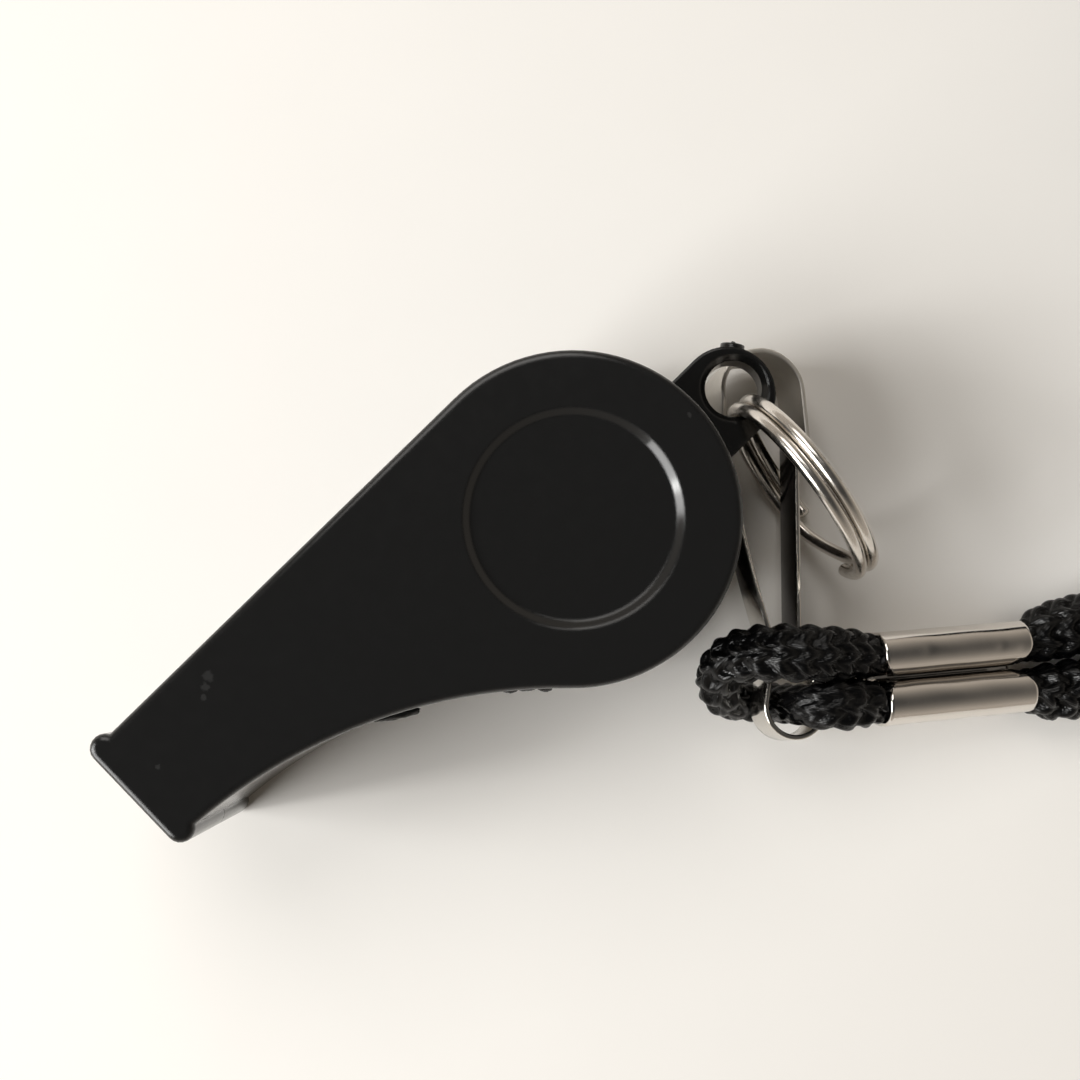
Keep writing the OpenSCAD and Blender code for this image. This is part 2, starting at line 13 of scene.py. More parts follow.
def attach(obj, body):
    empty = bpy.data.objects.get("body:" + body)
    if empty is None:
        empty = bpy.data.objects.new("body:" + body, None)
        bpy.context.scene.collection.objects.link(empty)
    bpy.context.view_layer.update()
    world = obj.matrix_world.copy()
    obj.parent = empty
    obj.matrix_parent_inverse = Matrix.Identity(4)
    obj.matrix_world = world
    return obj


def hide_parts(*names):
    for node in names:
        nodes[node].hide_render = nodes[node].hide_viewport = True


MM = 0.001
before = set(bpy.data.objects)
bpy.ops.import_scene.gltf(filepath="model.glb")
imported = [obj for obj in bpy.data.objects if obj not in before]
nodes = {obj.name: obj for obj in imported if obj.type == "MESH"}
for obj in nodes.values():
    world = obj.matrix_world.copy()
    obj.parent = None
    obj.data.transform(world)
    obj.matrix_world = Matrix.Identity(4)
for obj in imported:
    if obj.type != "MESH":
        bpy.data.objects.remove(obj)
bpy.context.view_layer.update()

# Sizes shared with the part's source
LUG_AT = (15.7, -1.15)
LAY_ANGLE = 44.7
WIRE_D, RING_R = 1.0, 7.5
CORD_D, CORD_R = 4.8, 2.4
BARREL_W, BARREL_H, SHEET_T, CRIMP_LEN = 3.55, 4.4, 0.4, 12.3
FIT_GAP = 0.05


# Points, curves and objects
def vec(*v):
    return np.array(v, float)


def unit(v):
    return v / np.linalg.norm(v)


def lengths_to(points):
    """How far each point lies along the line through them all."""
    return np.concatenate([[0], np.cumsum(np.linalg.norm(np.diff(points, axis=0), axis=1))])


def hung(p):
    """A point of the lanyard's axes in the part's axes, still in millimetres."""
    c, s = math.cos(math.radians(LAY_ANGLE)), math.sin(math.radians(LAY_ANGLE))
    p = np.asarray(p, float)
    x, y = LUG_AT[0] + c * p[..., 0] + s * p[..., 1], LUG_AT[1] - s * p[..., 0] + c * p[..., 1]
    return np.stack([x, y, p[..., 2]], -1)


def smooth(points, steps):
    """The curve through the points that the part's source uses, with steps places between each two."""
    p, out = [np.asarray(q, float) for q in points], []
    for i in range(len(p) - 1):
        a, b, c, d = p[max(i - 1, 0)], p[i], p[i + 1], p[min(i + 2, len(p) - 1)]
        for t in np.arange(steps) / steps:
            out.append((2 * b + (c - a) * t + (2 * a - 5 * b + 4 * c - d) * t * t
                        + (3 * b - a - 3 * c + d) * t ** 3) / 2)
    return out + [p[-1]]


def rise(t):
    """A soft step from 0 at 0 to 1 at 1."""
    t = np.clip(t, 0, 1)
    return t * t * (3 - 2 * t)


def turned(p, angle, axis):
    """Points turned about an axis of their own origin, in degrees: 0 is x, 1 is y, 2 is z."""
    c, s = math.cos(math.radians(angle)), math.sin(math.radians(angle))
    a, b = [(1, 2), (2, 0), (0, 1)][axis]
    out = np.array(p, float)
    out[..., a], out[..., b] = c * p[..., a] - s * p[..., b], s * p[..., a] + c * p[..., b]
    return out


def resampled(points, step):
    """Points at even steps along a line."""
    at = lengths_to(points)
    s = np.linspace(0, at[-1], round(at[-1] / step) + 1)
    return np.stack([np.interp(s, at, points[:, k]) for k in range(points.shape[1])], 1)


def directions(line):
    """The line's own direction at each of its points."""
    along = np.gradient(line, axis=0)
    return along / np.linalg.norm(along, axis=1)[:, None]


def arc(at, r, start, stop, steps):
    """Points on a circle, in degrees."""
    a = np.radians(np.linspace(start, stop, steps + 1))
    return [vec(at[0] + r * math.cos(t), at[1] + r * math.sin(t)) for t in a]


def oval_r(over, wide, high):
    """Radius of an oval in a direction whose share along its width is over."""
    return 1 / np.sqrt((over / wide) ** 2 + (1 - over ** 2) / high ** 2)


# Angles of the points round a rounded rectangle, four to each corner
CORNER_ANGLES = [math.radians(a) + q * math.pi / 2 for q in range(4) for a in range(0, 91, 30)]


def rounded(wide, high, r):
    """Points round a rectangle with these half sizes and rounded corners."""
    signs = [(sx, sy) for sx, sy in ((1, 1), (-1, 1), (-1, -1), (1, -1)) for _ in range(4)]
    return [(sx * (wide - r) + r * math.cos(a), sy * (high - r) + r * math.sin(a))
            for a, (sx, sy) in zip(CORNER_ANGLES, signs)]


def new_object(name, data):
    """An object with this data, in the scene."""
    made = bpy.data.objects.new(name, data)
    bpy.context.scene.collection.objects.link(made)
    return made


# Camera
def place_camera():
    """Places the camera where the photograph was taken from."""
    eye, target, up = vec(-7.70, -4.76, 112.5), vec(-1.74, 1.48, 0), vec(0.7034, 0.7108, 0)
    data = bpy.data.cameras.new("camera")
    data.sensor_width, data.lens, data.clip_start, data.clip_end = 36, 46.93, 0.001, 10
    camera = new_object("camera", data)
    back = unit(eye - target)
    side = unit(np.cross(up, back))
    axes = np.stack([side, np.cross(back, side), back], 1)
    matrix = np.eye(4)
    matrix[:3, :3], matrix[:3, 3] = axes, eye * MM
    camera.matrix_world = Matrix(matrix.tolist())
    bpy.context.scene.camera = camera


# The cord's route

# The middle of the hook's nose, from which the crimp and the bight are counted, and then the crimp's
# left end and run
HOOK_AT = vec(2.3945, 0.447122, 3.44999)
CRIMP_LEFT, CRIMP_RUN = HOOK_AT + vec(8.73, -21.85, 2.15), vec(12, 1, -2.75)
CRIMP_DIR = unit(CRIMP_RUN)
CRIMP_MID = CRIMP_LEFT + CRIMP_LEN / 2 * CRIMP_DIR
CRIMP_SIDE = unit(np.cross(vec(0, 0, 1), CRIMP_DIR))
# How far the bulge outside and the stub inside lie from the crimp's ends, and the cord's half widths there
MOUTH_OUT, MOUTH_IN = 0.4, 0.25
STUB_HALF = (BARREL_W / 2 - SHEET_T - FIT_GAP, BARREL_H / 2 - SHEET_T - FIT_GAP)
BULGE_HALF = (1.75, 2)
# Knots of the routes, counted from HOOK_AT for the bight, and the cord's half widths at the bight's
BIGHT_ROUTE = [(6.18, -19.9, 3.75), (3.98, -19.9, 4.95), (1.38, -19.85, 5.35), (-0.82, -19.9, 4.75),
               (-2.32, -20.4, 3.45), (-3.02, -21.6, 1.75), (-2.52, -23, 0.15), (-1.42, -23.6, -1.15),
               (-0.22, -23.7, -1.65), (0.88, -23.7, -1.35), (1.68, -23.7, -0.15), (2.28, -23.7, 1.35),
               (2.88, -23.7, 2.85), (3.98, -23.7, 4.15), (5.78, -23.6, 4.05), (7.18, -23.55, 3.05)]
BIGHT_HALVES = [(2, 2), (2.2, 1.9), (2.3, 1.85), (2.25, 1.8), (2.05, 1.8), (1.9, 1.8), (1.75, 1.7),
                (1.6, 1.5), (1.6, 1.25), (1.6, 1.15), (1.6, 1.1), (1.6, 1.1), (1.6, 1.1), (1.85, 1.2),
                (2.05, 1.5), (1.95, 1.8)]
UPPER_ROUTE = [(25.8, -17.7, 2.5), (31.8, -16.1, 2.45), (36.2, -13.4, 2.45), (41.4, -8.7, 2.45),
               (46.6, -3.6, 2.9), (50, 2.2, 4.4), (51.2, 7.4, 6.6)]
LOWER_ROUTE = [(25.8, -22.4, 2.5), (32.2, -21.3, 2.45), (36.8, -19.5, 2.45), (43, -14.5, 2.45),
               (50.2, -7.7, 2.45), (57.2, -0.5, 2.45), (64.2, 6.6, 2.45)]
# The hank: middle, direction and length; then its inmost fold, the steps to the next loop and to the next
# layer, and the loops in a layer and in all
HANK_AT, HANK_LAY, HANK_LEN = (70, 45.3), 44.7, 84
FOLD_R, LOOP_STEP, LAYER_STEP, LAYER_TURNS, HANK_TO = 11.6, 5.6, 5.3, 2, 3.75
# Turns that the climb to the second layer takes, places in each turn, and places between each two knots
CLIMB_TURNS, LOOP_RINGS, KNOT_STEPS = 0.5, 96, 8
# How far the tie draws the hank in, and the tie's width, thickness and gap to the cord
WAIST_IN, TIE_W, TIE_T, TIE_GAP = 4.2, 6, 0.8, 0.4
FOLD_OUT = FOLD_R + LAYER_TURNS * LOOP_STEP
RUN_HALF = HANK_LEN / 2 - CORD_R - FOLD_OUT
RUN_SHARE = RUN_HALF / (4 * RUN_HALF + math.pi * (FOLD_R + FOLD_OUT))
HANK_ALONG = vec(math.cos(math.radians(HANK_LAY)), math.sin(math.radians(HANK_LAY)), 0)
HANK_ASIDE = vec(-HANK_ALONG[1], HANK_ALONG[0], 0)


def in_barrel(side, along):
    """A point on the middle of one barrel of the crimp."""
    return CRIMP_MID + side * BARREL_W / 2 * CRIMP_SIDE + along * CRIMP_DIR


def waist_share(run):
    """How much a straight run is drawn in at this distance from the waist: 1 at the waist, 0 at its end."""
    return math.cos(math.radians(90 * min(1, abs(run) / RUN_HALF))) ** 2


def hank_point(s):
    """A point of the hank after s loops: two layers, which spiral in and out and keep in at the waist."""
    turn = s - math.floor(s)
    r = FOLD_OUT - LOOP_STEP * s if s < LAYER_TURNS else FOLD_R + LOOP_STEP * (s - LAYER_TURNS)
    fold = math.pi * (turn % 0.5 - RUN_SHARE) / (0.5 - 2 * RUN_SHARE)
    if turn < RUN_SHARE or turn >= 1 - RUN_SHARE:
        run = RUN_HALF * (turn if turn < 0.5 else turn - 1) / RUN_SHARE
        waist = waist_share(run)
        x, y = WAIST_IN * waist - r, run
    elif turn < 0.5 - RUN_SHARE:
        x, y, waist = r * math.cos(math.pi - fold), RUN_HALF + r * math.sin(math.pi - fold), 0
    elif turn < 0.5 + RUN_SHARE:
        run = RUN_HALF * (0.5 - turn) / RUN_SHARE
        waist = waist_share(run)
        x, y = r - WAIST_IN * waist, run
    else:
        x, y, waist = r * math.cos(-fold), r * math.sin(-fold) - RUN_HALF, 0
    climb = rise((s - LAYER_TURNS) / CLIMB_TURNS + 0.5)
    up = CORD_R + LAYER_STEP * climb + (TIE_T + TIE_GAP) * waist
    return vec(*HANK_AT, up) + y * HANK_ALONG + x * HANK_ASIDE


def hank_points():
    """The whole hank, with a straight bit before and after it that meets the runs from the crimp."""
    count = round((HANK_TO + RUN_SHARE) * LOOP_RINGS)
    wound = [hank_point(-RUN_SHARE + (HANK_TO + RUN_SHARE) * i / count) for i in range(count + 1)]
    return [wound[0] - CORD_D * HANK_ALONG] + wound + [wound[-1] - CORD_D * HANK_ASIDE]


def strand(side, route, last, beyond):
    """From the crimp's middle to the hank, with the half widths of the cord there."""
    knots = [in_barrel(side, CRIMP_LEN / 2 + MOUTH_OUT), *route, last + CORD_D * unit(last - beyond)]
    halves = [BULGE_HALF] + [(CORD_R, CORD_R)] * (len(route) + 1)
    stub = [in_barrel(side, 0), in_barrel(side, CRIMP_LEN / 2 - MOUTH_IN)]
    halves = [vec(*STUB_HALF)] * 2 + smooth(halves, KNOT_STEPS) + [vec(CORD_R, CORD_R)]
    return stub + smooth(knots, KNOT_STEPS) + [last], halves


def cord_route():
    """The whole loop: out of the crimp, round the hank, back through the crimp and round the hook's eye."""
    hank = hank_points()
    out, out_half = strand(1, UPPER_ROUTE, hank[-1], hank[-2])
    back, back_half = strand(-1, LOWER_ROUTE, hank[0], hank[1])
    mouth = CRIMP_LEN / 2 + MOUTH_OUT
    knots = [HOOK_AT + vec(*p) for p in BIGHT_ROUTE]
    bight = smooth([in_barrel(1, -mouth), *knots, in_barrel(-1, -mouth)], KNOT_STEPS)
    bight_half = smooth([BULGE_HALF, *BIGHT_HALVES, BULGE_HALF], KNOT_STEPS)
    stubs = [[in_barrel(side, MOUTH_IN - CRIMP_LEN / 2)] for side in (-1, 1)]
    points = out + hank[-2:0:-1] + back[::-1] + stubs[0] + bight[::-1] + stubs[1] + [in_barrel(1, -mouth / 2)]
    stub_half = [vec(*STUB_HALF)]
    halves = out_half + [vec(CORD_R, CORD_R)] * (len(hank) - 2) + back_half[::-1]
    halves += stub_half + bight_half[::-1] + stub_half * 2
    return np.array(points), np.array(halves)


# Knitted cord

# Columns of stitches round the cord, a stitch's length, its depth, and a column's width at mid yarn
WALES = 6
STITCH = 1.85
STITCH_DEPTH = 0.7
MID_YARN_SHARE = 0.92
WALE = 2 * math.pi * CORD_R * MID_YARN_SHARE / WALES
# A stitch's leg: its ends from the column's middle, its run along the cord, half its thickness and its bow
LEG_FOOT, LEG_HEAD, LEG_RUN, LEG_HALF, LEG_BOW = 0.03 * WALE, 0.50 * WALE, 1.15, 0.56, 0.10 * WALE
# How far a leg runs on past its ends, and its height at them, as shares
LEG_ON_SHARE, LEG_END_SHARE = 0.15, 0.45
# The grooves' least depth as a share where the cord is squeezed, and how the share follows the squeeze
GROOVE_LEAST, GROOVE_SLOPE, GROOVE_OFFSET = 0.3, 1.7, 0.6
# How stitches differ: two waves that count rows and columns, a stitch's shift and its height's change
ROW_WAVE, COLUMN_WAVE, STITCH_SHIFT, STITCH_CHANGE = 12.9898, 78.233, 0.10, 0.08
# Nearer than this along the lanyard the cord is close to the camera and gets finer rings
NEAR_X = 36.0
NEAR_STEP, FAR_STEP = ((0.2, 0.3))
NEAR_SIDES = 128
# Rounds of smoothing of the cord's middle line
SMOOTHINGS = 6


def resample(points, halves):
    """Places along the route, close together where the cord is near the camera."""
    at = lengths_to(points)
    places, near, s = [], [], 0.0
    while s < at[-1]:
        close = np.interp(s, at, points[:, 0]) < NEAR_X
        places.append(s)
        near.append(close)
        s += NEAR_STEP if close else FAR_STEP
    line, half = (np.stack([np.interp(places, at, column) for column in table.T], 1)
                  for table in (points, halves))
    for _ in range(SMOOTHINGS):
        line[1:-1] = line[1:-1] / 2 + (line[:-2] + line[2:]) / 4
    return line, half, near


def carried_frames(line):
    """Tangents, and side directions that are carried along without twist."""
    tangents = directions(line)
    side = unit(np.cross([0, 0, 1], tangents[0]))
    sides = [side]
    for t in tangents[1:]:
        side = unit(side - side.dot(t) * t)
        sides.append(side)
    return tangents, np.array(sides)


def wale_lengths(line, half, sides, ups, across):
    """How far each column has run along its own side of the cord: stitches keep their size in bends."""
    runs = []
    for k in range(WALES):
        a = 2 * math.pi * (k + 0.5) / WALES
        out = math.cos(a) * sides + math.sin(a) * ups
        radius = oval_r((out * across).sum(1), half[:, 0], half[:, 1])
        runs.append(lengths_to(line + out * radius[:, None]))
    return np.stack(runs, 1)


def stitch_height(around, runs):
    """Height of the knit from 0 in a groove to 1 on a yarn: two legs of yarn make each stitch's V."""
    column = np.floor(around)
    x = (around - column - 0.5) * WALE
    best = np.zeros_like(x)
    dx, dy = LEG_HEAD - LEG_FOOT, LEG_RUN
    for shift in (-1, 0, 1):
        wale = ((column + shift) % WALES).astype(int)
        along = runs[wale]
        row = np.floor(along / STITCH)
        for k in (-2, -1, 0, 1):
            wander = np.sin(ROW_WAVE * (row + k) + COLUMN_WAVE * wale)
            for side in (-1, 1):
                px = (x - shift * WALE) * side - LEG_FOOT
                py = along - (row + k) * STITCH - STITCH_SHIFT * wander
                t = (px * dx + py * dy) / (dx * dx + dy * dy)
                t = np.clip(t, -LEG_ON_SHARE, 1 + LEG_ON_SHARE)
                bow = LEG_BOW * np.sin(math.pi * np.clip(t, 0, 1))
                d = np.hypot(px - dx * t - bow, py - dy * t)
                body = np.sqrt(np.clip(1 - (d / LEG_HALF) ** 2, 0, 1))
                crest = np.sin(math.pi * np.clip(0.1 + 0.8 * t, 0, 1))
                crown = LEG_END_SHARE + (1 - LEG_END_SHARE) * crest
                best = np.maximum(best, body * crown * (1 - STITCH_CHANGE * side * wander))
    return best


def groove_depth(wide, high):
    """The knit's depth, which is less where the cord is squeezed."""
    share = math.sqrt(wide * high) / CORD_R * GROOVE_SLOPE - GROOVE_OFFSET
    return STITCH_DEPTH * min(1, max(GROOVE_LEAST, share))


def joined(low, low_count, top, top_count):
    """Faces from one ring of points to the next, where either may have twice the points of the other."""
    if top_count == low_count:
        return [(low + k, low + (k + 1) % low_count, top + (k + 1) % top_count, top + k)
                for k in range(top_count)]
    if top_count < low_count:
        return [(low + 2 * k, low + 2 * k + 1, low + (2 * k + 2) % low_count,
                 top + (k + 1) % top_count, top + k) for k in range(top_count)]
    return [(low + k, low + (k + 1) % low_count,
             top + (2 * k + 2) % top_count, top + 2 * k + 1, top + 2 * k) for k in range(low_count)]


def knit_cord(tie_piece):
    """The cord, which slides with its crimp and tie."""
    route, half_widths = cord_route()
    line, half, near = resample(route, half_widths)
    tangents, sides = carried_frames(line)
    ups = np.cross(tangents, sides)
    across = np.cross([0, 0, 1], tangents)
    across /= np.linalg.norm(across, axis=1)[:, None]
    runs = wale_lengths(line, half, sides, ups, across)
    verts, faces, uvs, start, before, count_before = [], [], [], 0, 0, 0
    for i, fine in enumerate(near):
        count = NEAR_SIDES if fine else NEAR_SIDES // 2
        a = 2 * math.pi * np.arange(count) / count
        out = np.cos(a)[:, None] * sides[i] + np.sin(a)[:, None] * ups[i]
        radius = oval_r(out @ across[i], *half[i])
        around = a / (2 * math.pi) * WALES
        sunk = groove_depth(*half[i]) * (1 - stitch_height(around, runs[i]))
        verts.append(hung(line[i] + out * (radius - sunk)[:, None]))
        uvs.append(np.stack([around, runs[i][around.astype(int) % WALES] / STITCH], 1))
        faces += joined(before, count_before, start, count) if i else [tuple(range(count - 1, -1, -1))]
        before, count_before, start = start, count, start + count
    faces.append(tuple(before + k for k in range(count_before)))
    mesh = bpy.data.meshes.new("neck_cord")
    mesh.from_pydata(np.concatenate(verts) * MM, [], faces)
    stitch_uv(mesh, np.concatenate(uvs))
    mesh.polygons.foreach_set("use_smooth", [True] * len(mesh.polygons))
    cord = new_object("neck_cord", mesh)
    cord.data.materials.append(knit_material())
    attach(cord, "lanyard")
    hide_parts("cord_bight", "strand_upper", "strand_lower", "cord_hank")


def stitch_uv(mesh, table):
    """One map for the yarn's fibres: u counts the wales round the cord and v the stitches along it."""
    layer = mesh.uv_layers.new(name="stitches")
    index = np.zeros(len(mesh.loops), np.int32)
    mesh.loops.foreach_get("vertex_index", index)
    values = table[index]
    starts = np.zeros(len(mesh.polygons), np.int32)
    totals = np.zeros(len(mesh.polygons), np.int32)
    mesh.polygons.foreach_get("loop_start", starts)
    mesh.polygons.foreach_get("loop_total", totals)
    face = np.repeat(np.arange(len(starts)), totals)
    high = np.maximum.reduceat(values[:, 0], starts)[face]
    values[:, 0] = np.where(high - values[:, 0] > WALES / 2, values[:, 0] + WALES, values[:, 0])
    layer.data.foreach_set("uv", values.astype(np.float32).ravel())


# Materials
def material(name, color, roughness, metallic=0.0):
    """A new material and its shader."""
    made = bpy.data.materials.new(name)
    made.use_nodes = True
    shader = made.node_tree.nodes["Principled BSDF"]
    shader.inputs["Base Color"].default_value = (*color, 1)
    shader.inputs["Roughness"].default_value = roughness
    shader.inputs["Metallic"].default_value = metallic
    return made, shader


def node(made, kind, inputs=(), **settings):
    """Adds a node; inputs are values or the sockets to link, by name or number."""
    tree = made.node_tree
    added = tree.nodes.new(kind)
    for key, value in settings.items():
        setattr(added, key, value)
    for key, value in dict(inputs).items():
        if isinstance(value, bpy.types.NodeSocket):
            tree.links.new(value, added.inputs[key])
        else:
            added.inputs[key].default_value = value
    return added


def noise(made, scale, detail=4.0):
    """Noise in the part's own space; scale is in patches per metre."""
    where = node(made, "ShaderNodeTexCoord").outputs["Object"]
    inputs = {"Vector": where, "Scale": scale, "Detail": detail}
    return node(made, "ShaderNodeTexNoise", inputs).outputs["Fac"]


def ramp(made, value, low, high, to_low, to_high):
    """The value mapped from low to high onto to_low to to_high, and held outside."""
    return node(made, "ShaderNodeMapRange", {0: value, 1: low, 2: high, 3: to_low, 4: to_high}).outputs[0]


def bump(made, shader, height, strength, distance, normal=None):
    """Fine relief on the shader, on top of a normal if there is one."""
    inputs = {"Height": height, "Strength": strength, "Distance": distance}
    if normal is not None:
        inputs["Normal"] = normal
    made.node_tree.links.new(node(made, "ShaderNodeBump", inputs).outputs[0], shader.inputs["Normal"])


def math_node(made, operation, a, b=0.0, c=0.0):
    """What the operation makes of the values."""
    return node(made, "ShaderNodeMath", {0: a, 1: b, 2: c}, operation=operation).outputs[0]


def mixed(made, share, a, b, **settings):
    """A colour that goes from a to b with the share."""
    inputs = {"Factor": share, "A": a, "B": b}
    return node(made, "ShaderNodeMix", inputs, data_type="RGBA", **settings).outputs["Result"]


def attribute(made, name):
    """A value that the piece's points carry."""
    return node(made, "ShaderNodeAttribute", attribute_name=name).outputs["Fac"]


def grey(made, value):
    """A grey of this value."""
    return node(made, "ShaderNodeCombineColor", {0: value, 1: value, 2: value}).outputs[0]


# How closely the yarn's fibres follow each other across a column and along a stitch
FIBRES_ACROSS, FIBRES_ALONG = 95.0, 38.0


def knit_material():
    """Shiny black yarn, with fine fibres along each leg of a stitch."""
    made, shader = material("knit_cord", (0.0018, 0.0018, 0.002), 0.3)
    uv = node(made, "ShaderNodeUVMap", uv_map="stitches").outputs[0]
    split = node(made, "ShaderNodeSeparateXYZ", {0: uv})
    across = math_node(made, "FRACT", split.outputs[0])
    x = math_node(made, "ABSOLUTE", math_node(made, "SUBTRACT", across, 0.5))
    fibres = math_node(made, "ADD", math_node(made, "MULTIPLY", x, FIBRES_ACROSS),
                       math_node(made, "MULTIPLY", split.outputs[1], -FIBRES_ALONG))
    wavy = math_node(made, "ADD", fibres, math_node(made, "MULTIPLY", noise(made, 900), 3.0))
    bump(made, shader, math_node(made, "SINE", wavy), 0.25, 0.00003)
    rough = ramp(made, noise(made, 1400), 0.3, 0.7, 0.15, 0.25)
    made.node_tree.links.new(rough, shader.inputs["Roughness"])
    shader.inputs["Specular IOR Level"].default_value = 0.28
    return made


def mask_at(made, at, reach, scale):
    """A ragged patch about a point of the part, in millimetres: 1 inside, 0 outside."""
    where = node(made, "ShaderNodeTexCoord").outputs["Object"]
    spot = [v * MM for v in at]
    away = node(made, "ShaderNodeVectorMath", {0: where, 1: spot}, operation="DISTANCE").outputs["Value"]
    ragged = math_node(made, "ADD", away, math_node(made, "MULTIPLY", noise(made, scale, 3), reach * MM))
    return ramp(made, ragged, 1.2 * reach * MM, 0.9 * reach * MM, 0.0, 1.0)


# Lighter spots of the upper side face: middle, size and how fine their edge is
LIGHTER_SPOTS = [(-24.9, 9.6, 18, 0.6, 3000), (-25.5, 9.2, 18, 0.5, 3400), (-26.1, 8.8, 18, 0.35, 4200),
        (-31.4, 7.6, 18, 0.3, 4800), (10.5, -0.6, 18, 0.28, 4000)]
# Their tone, and the radius in metres by which the shells' edges look rounded
LIGHTER_SPOT_TONE, SOFT_EDGE = 0.024, 0.0003


def plastic_material(name, tone):
    """Glossy black plastic, lighter in a few small spots, with softened edges."""
    made, shader = material(name, (tone, tone, tone), 0.3)
    lighter_spot = mask_at(made, LIGHTER_SPOTS[0][:3], *LIGHTER_SPOTS[0][3:])
    for spot_at in LIGHTER_SPOTS[1:]:
        lighter_spot = math_node(made, "MAXIMUM", lighter_spot, mask_at(made, spot_at[:3], *spot_at[3:]))
    spotted = ramp(made, lighter_spot, 0.0, 1.0, tone, LIGHTER_SPOT_TONE)
    made.node_tree.links.new(grey(made, spotted), shader.inputs["Base Color"])
    soft = node(made, "ShaderNodeBevel", {"Radius": SOFT_EDGE}, samples=6).outputs[0]
    bump(made, shader, noise(made, 2400, 3), 0.05, 0.00004, soft)
    rough = ramp(made, noise(made, 900, 5), 0.3, 0.75, 0.13, 0.18)
    made.node_tree.links.new(rough, shader.inputs["Roughness"])
    return made


# What a matt mark of 1 adds to the metal's roughness
MATT_ROUGH = 0.3


def metal_material(name, color, low, high, dark=None):
    """Plated metal with faint scuffs; with a dark colour, the piece's tone mark paints shade where it is 0
    and highlights where it is 1, and matt marks roughen it.
    """
    made, shader = material(name, color, low, 1.0)
    rough = ramp(made, noise(made, 1500, 5), 0.35, 0.7, low, high)
    bump(made, shader, noise(made, 700, 4), 0.08, 0.00006)
    if dark:
        matt = math_node(made, "MULTIPLY", attribute(made, "matt"), MATT_ROUGH)
        rough = math_node(made, "ADD", rough, matt)
        # The tone mark paints shade in the dark colour and lets the plain colour through as a painted
        # highlight.
        tint = mixed(made, attribute(made, "tone"), (*dark, 1), (*color, 1))
        made.node_tree.links.new(tint, shader.inputs["Base Color"])
    made.node_tree.links.new(rough, shader.inputs["Roughness"])
    return made


def cork_material():
    """Grainy brown cork."""
    made, shader = material("cork", (0.42, 0.26, 0.13), 0.85)
    grain = noise(made, 1100, 6)
    tint = node(made, "ShaderNodeValToRGB", {0: grain})
    tint.color_ramp.elements[0].position, tint.color_ramp.elements[1].position = 0.35, 0.65
    tint.color_ramp.elements[0].color = (0.16, 0.08, 0.04, 1)
    tint.color_ramp.elements[1].color = (0.50, 0.32, 0.17, 1)
    made.node_tree.links.new(tint.outputs[0], shader.inputs["Base Color"])
    bump(made, shader, grain, 0.5, 0.0003)
    return made


def band_material():
    """Matt black band with a fine weave."""
    made, shader = material("tie_band", (0.02, 0.02, 0.022), 0.6)
    where = node(made, "ShaderNodeTexCoord").outputs["Object"]
    inputs = {"Vector": where, "Scale": 900.0, "Distortion": 1.5, "Detail": 2.0}
    bump(made, shader, node(made, "ShaderNodeTexWave", inputs).outputs["Fac"], 0.5, 0.0001)
    return made


def dress(name, made):
    """Gives a carried-over CAD piece its material in every slot."""
    piece = nodes[name]
    if not piece.material_slots:
        piece.data.materials.append(made)
    for slot in piece.material_slots:
        slot.material = made


# Pieces
def mesh_piece(name, points, faces, made, body, slot, *stands_for, **marks):
    """A piece from points in millimetres in the part's axes, the nodes it replaces and marks per point."""
    mesh = bpy.data.meshes.new(name)
    mesh.from_pydata((np.asarray(points) * MM).tolist(), [], faces)
    mesh.polygons.foreach_set("use_smooth", [True] * len(mesh.polygons))
    mesh.materials.append(made)
    piece = new_object(name, mesh)
    for mark, values in marks.items():
        mesh.attributes.new(mark, "FLOAT", "POINT").data.foreach_set("value", np.asarray(values, np.float32))
    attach(piece, body)
    if stands_for:
        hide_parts(*stands_for)
    return piece


def loft(rings):
    """Points and faces of a solid through rings of equal count, closed at both ends."""
    n, count = len(rings[0]), len(rings)
    faces = [(i * n + k, i * n + (k + 1) % n, (i + 1) * n + (k + 1) % n, (i + 1) * n + k)
             for i in range(count - 1) for k in range(n)]
    ends = [tuple(range(n - 1, -1, -1)), tuple((count - 1) * n + k for k in range(n))]
    return np.concatenate(rings), faces + ends


# Metal pieces

# Where the ring's middle lies from the lug's hole, and where and how widely its turns cross over
RING_DIR, RING_OUT, RING_UP = -54, 8.79677, 8.35
CROSS_ANGLE, CROSS_SPREAD, COIL_GAP = -48, 26, 0.04
# Steps along the wire, its sides, and its thickness at the cut ends as a share
RING_STEPS, WIRE_SIDES, WIRE_TIP = 420, 20, 0.8


def split_ring(made):
    """Round wire in two turns that lie side by side and cross over once."""
    rings = []
    first, last = CROSS_ANGLE + CROSS_SPREAD, CROSS_ANGLE + 720 - CROSS_SPREAD
    around = 2 * math.pi * (np.arange(WIRE_SIDES) + 0.5) / WIRE_SIDES
    for i in range(RING_STEPS + 1):
        a = first + (last - first) * i / RING_STEPS
        side = rise((a - CROSS_ANGLE - 360 + CROSS_SPREAD) / (2 * CROSS_SPREAD)) - 0.5
        out = vec(math.cos(math.radians(a)), 0, math.sin(math.radians(a)))
        half = WIRE_D / 2 * (WIRE_TIP if i in (0, RING_STEPS) else 1)
        ring = RING_R * out + vec(0, side * (WIRE_D + COIL_GAP), 0)
        rings.append(ring + half * (np.cos(around)[:, None] * vec(0, 1, 0) + np.sin(around)[:, None] * out))
    points, faces = loft(rings)
    points = turned(points + vec(RING_OUT, 0, RING_UP), RING_DIR, 2)
    mesh_piece("split_ring_wire", hung(points), faces, made, "ring", "plated_metal", "split_ring")


